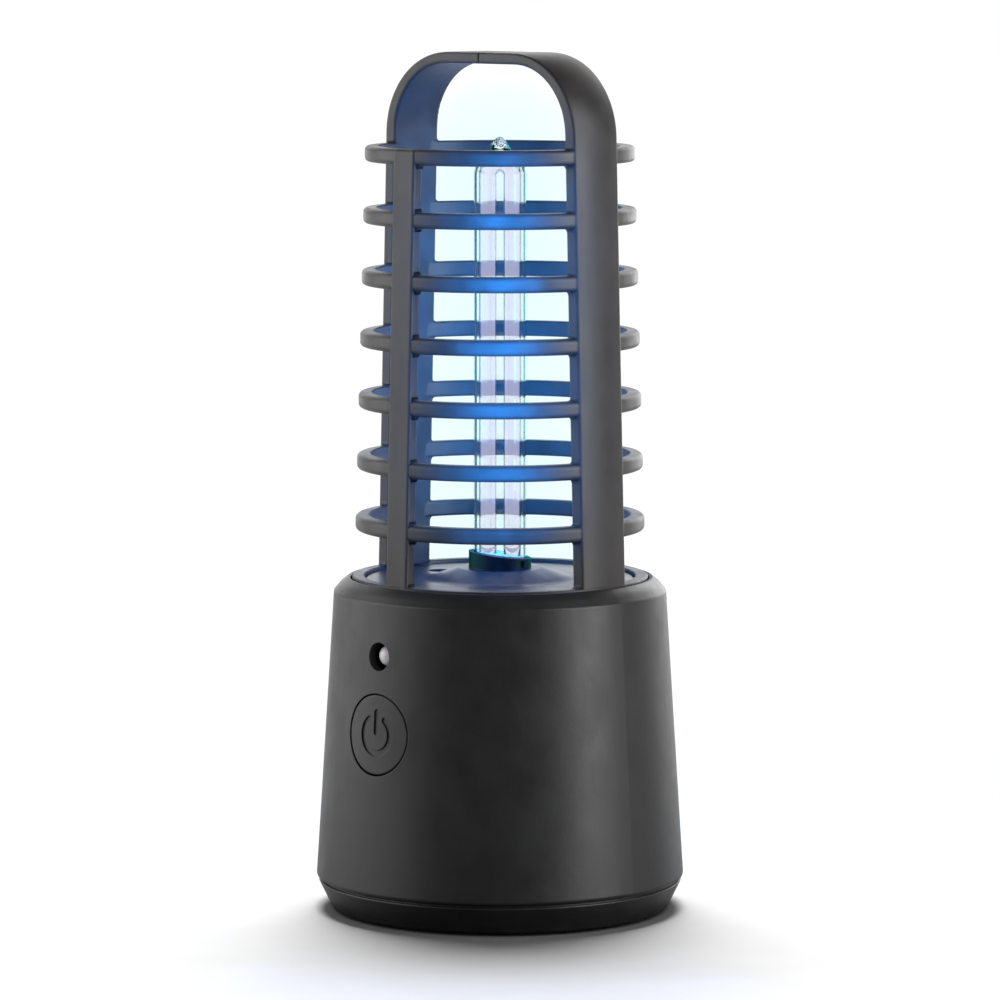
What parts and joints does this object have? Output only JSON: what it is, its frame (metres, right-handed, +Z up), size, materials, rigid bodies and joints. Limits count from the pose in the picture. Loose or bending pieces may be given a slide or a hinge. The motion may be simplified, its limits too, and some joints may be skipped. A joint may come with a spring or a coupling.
{
  "type": "electric insect lamp",
  "caption": "Upright battery insect lamp: tapered base with power button, and a ringed guard with a handle arch around a clear twin-tube lamp.",
  "frame": {"origin": "on the floor under the lamp's upright axis, at the underside of the rubber feet", "axes": "+Z up; the power button faces -Y and the charging socket +Y; the handle arch spans X"},
  "size_m": [0.0848, 0.0848, 0.1974],
  "materials": {
    "black_abs": "satin, fine spark texture",
    "deck_abs": "satin",
    "black_rubber": "matte",
    "screw_steel": "bright zinc",
    "glass": "clear",
    "lit_phosphor": "lit",
    "cement": "matte",
    "sleeve_silicone": "satin",
    "lead_wire": "drawn wire",
    "heat_abs": "matte",
    "led_resin": "diffused lens",
    "board_green": "solder mask",
    "black_moulding": "matte",
    "cell_wrap": "shrink wrap",
    "nickel_strip": "nickel plate",
    "ferrite": "sintered",
    "capacitor_can": "sleeved can",
    "socket_nylon": "matte",
    "red_wire": "insulation",
    "white_wire": "insulation"
  },
  "bodies": {
    "base": {"base_shell": "black_abs", "bottom_cover": "black_abs", "rubber_feet": "black_rubber", "cover_screws": "screw_steel", "deck_plate": "deck_abs", "deck_screw": "screw_steel", "lamp_holder": "heat_abs", "lamp_holder_screws": "screw_steel", "lamp_sleeve": "sleeve_silicone", "lamp_cement": "cement", "lamp_envelope": "glass", "lamp_tube": "lit_phosphor", "lamp_leads": "lead_wire", "switch_board": "board_green", "switch_body": "black_moulding", "switch_board_screws": "screw_steel", "indicator_led": "led_resin", "battery_cell": "cell_wrap", "battery_holder": "black_moulding", "battery_contact_low": "nickel_strip", "battery_contact_high": "nickel_strip", "driver_board": "board_green", "driver_transformer": "ferrite", "driver_capacitors": "capacitor_can", "driver_transistor": "black_moulding", "wire_sockets": "socket_nylon", "charge_board": "board_green", "charge_board_screws": "screw_steel", "charge_chip": "black_moulding", "usb_socket": "nickel_strip", "lamp_wires": "white_wire", "battery_wires": "red_wire", "switch_wires": "white_wire", "charge_wires": "red_wire"},
    "guard": {"guard_left_half": "black_abs", "guard_right_half": "black_abs"},
    "button": {"power_button": "black_abs"},
    "plunger": {"switch_plunger": "black_moulding"}
  },
  "joints": [
    {"name": "guard_lift", "type": "slide", "parent": "base", "child": "guard", "axis": [0, 0, 1], "range_m": [0, 0.12]},
    {"name": "button_press", "type": "slide", "parent": "base", "child": "button", "axis": [0, 1, 0], "range_m": [0, 0.0005], "stiffness_N_per_m": 900, "springref_m": -0.0008},
    {"name": "plunger_press", "type": "slide", "parent": "base", "child": "plunger", "axis": [0, 1, 0], "range_m": [0, 0.0005]}
  ],
  "couplings": [
    {"joint": "plunger_press", "follows": "button_press", "ratio": 1}
  ]
}
